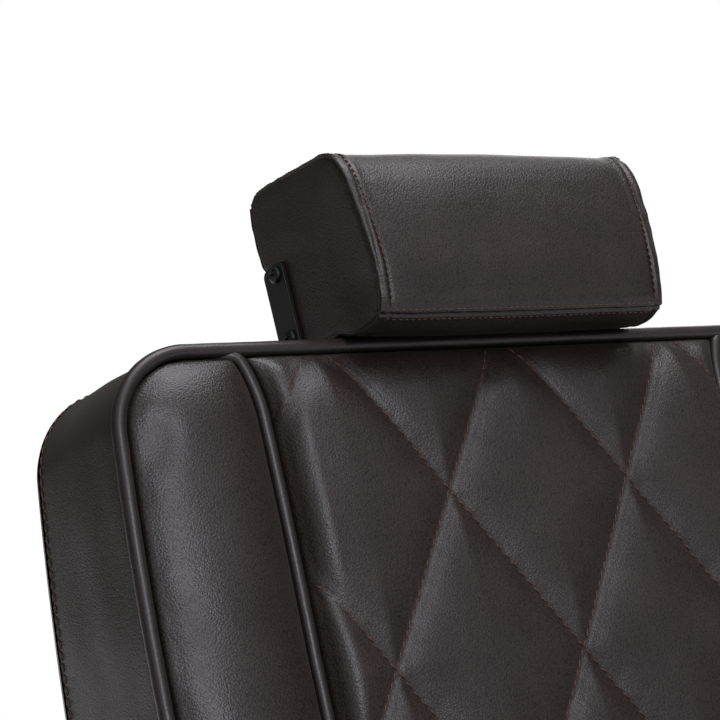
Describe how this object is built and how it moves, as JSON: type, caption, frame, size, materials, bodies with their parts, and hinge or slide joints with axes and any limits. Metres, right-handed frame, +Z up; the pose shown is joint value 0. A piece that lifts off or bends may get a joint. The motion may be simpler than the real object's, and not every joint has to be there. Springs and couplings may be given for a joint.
{
  "type": "barber chair",
  "caption": "Reclining barber chair with a quilted backrest, sliding headrest, padded arms, swinging footrest and a hydraulic column on a round base.",
  "frame": {"origin": "centre of the round base, on the floor", "axes": "+Z up along the column, the sitter faces -Y, +X is the sitter's left"},
  "size_m": [0.68, 1.1306, 1.15],
  "materials": {
    "chrome": "polished",
    "ram_steel": "ground and plated",
    "black_steel": "satin black powder coat",
    "bright_steel": "zinc plated",
    "foot_alloy": "polished casting",
    "rubber": "matt ribbed",
    "plywood": "unfinished birch ply",
    "padding": "dark brown leather over foam",
    "leather": "dark brown fine-grained leather"
  },
  "bodies": {
    "base": {"base_plate": "chrome", "base_foot_ring": "rubber", "pump_cylinder": "black_steel", "pump_flange_bolts": "bright_steel", "pump_collar": "chrome", "pedal_pin": "bright_steel"},
    "pedal": {"pump_pedal": "chrome", "pedal_tread": "rubber"},
    "ram": {"lift_ram": "ram_steel", "pump_shroud": "chrome", "swivel_bearing": "bright_steel"},
    "seat": {"swivel_hub": "black_steel", "hub_lock_ring": "bright_steel", "mount_bolts": "bright_steel", "seat_frame": "black_steel", "frame_plugs": "bright_steel", "seat_board": "plywood", "seat_box": "padding", "seat_quilted_panel": "padding", "seat_bolster_left": "padding", "seat_bolster_right": "padding", "seat_band": "leather", "seat_piping": "leather", "seat_inner_pipings": "leather", "arm_frame_left": "chrome", "arm_frame_right": "chrome", "arm_boards": "black_steel", "arm_pad_left": "padding", "arm_pad_right": "padding", "arm_bolts": "bright_steel", "recline_brackets": "black_steel", "recline_pins": "bright_steel", "footrest_lugs": "black_steel", "footrest_pins": "bright_steel", "strut_lug": "black_steel", "strut_cylinder": "black_steel", "lever_bracket": "black_steel"},
    "lever": {"recline_lever": "chrome", "lever_grip": "rubber"},
    "strut": {"strut_rod": "ram_steel"},
    "backrest": {"back_board": "plywood", "back_quilted_panel": "padding", "back_bolster_left": "padding", "back_bolster_right": "padding", "back_band": "leather", "back_rear_panel": "leather", "back_piping": "leather", "back_inner_pipings": "leather", "back_hinge_arms": "black_steel", "back_hinge_bolts": "bright_steel", "back_crank_pins": "bright_steel", "headrest_guides": "black_steel"},
    "headrest": {"headrest_pad": "padding", "headrest_bars": "black_steel", "headrest_screws": "black_steel"},
    "footrest": {"footrest_frame": "chrome", "foot_plate": "foot_alloy", "foot_treads": "rubber", "footrest_crank_pin": "bright_steel"},
    "link": {"footrest_link": "black_steel"}
  },
  "joints": [
    {"name": "pedal_press", "type": "hinge", "parent": "base", "child": "pedal", "pos_m": [0, 0.0603, 0.1], "axis": [-1, 0, 0], "range_deg": [0, 12], "stiffness_Nm_per_rad": 8, "springref_deg": -20.05},
    {"name": "lift", "type": "slide", "parent": "base", "child": "ram", "axis": [0, 0, 1], "range_m": [0, 0.16]},
    {"name": "swivel", "type": "hinge", "parent": "ram", "child": "seat", "pos_m": [0, 0, 0.356], "axis": [0, 0, 1], "continuous": true},
    {"name": "lever_lift", "type": "hinge", "parent": "seat", "child": "lever", "pos_m": [0.275, 0.075, 0.402], "axis": [-1, 0, 0], "range_deg": [0, 18], "stiffness_Nm_per_rad": 1, "springref_deg": -20.05},
    {"name": "recline", "type": "hinge", "parent": "seat", "child": "backrest", "pos_m": [0, 0.24917, 0.44567], "axis": [-1, 0, 0], "range_deg": [0, 45]},
    {"name": "headrest_height", "type": "slide", "parent": "backrest", "child": "headrest", "axis": [0, 0.342, 0.9397], "range_m": [0, 0.06]},
    {"name": "strut_stroke", "type": "slide", "parent": "seat", "child": "strut", "axis": [0, -1, 0], "range_m": [0, 0.0556]},
    {"name": "footrest_swing", "type": "hinge", "parent": "seat", "child": "footrest", "pos_m": [0, -0.268, 0.409], "axis": [-1, 0, 0], "range_deg": [0, 45]},
    {"name": "link_turn", "type": "hinge", "parent": "backrest", "child": "link", "pos_m": [0, 0.27672, 0.37915], "axis": [-1, 0, 0], "range_deg": [-45, 0]}
  ],
  "couplings": [
    {"joint": "strut_stroke", "follows": "recline", "m_per_rad": 0.070164},
    {"joint": "footrest_swing", "follows": "recline", "ratio": 1},
    {"joint": "link_turn", "follows": "recline", "ratio": -1}
  ]
}
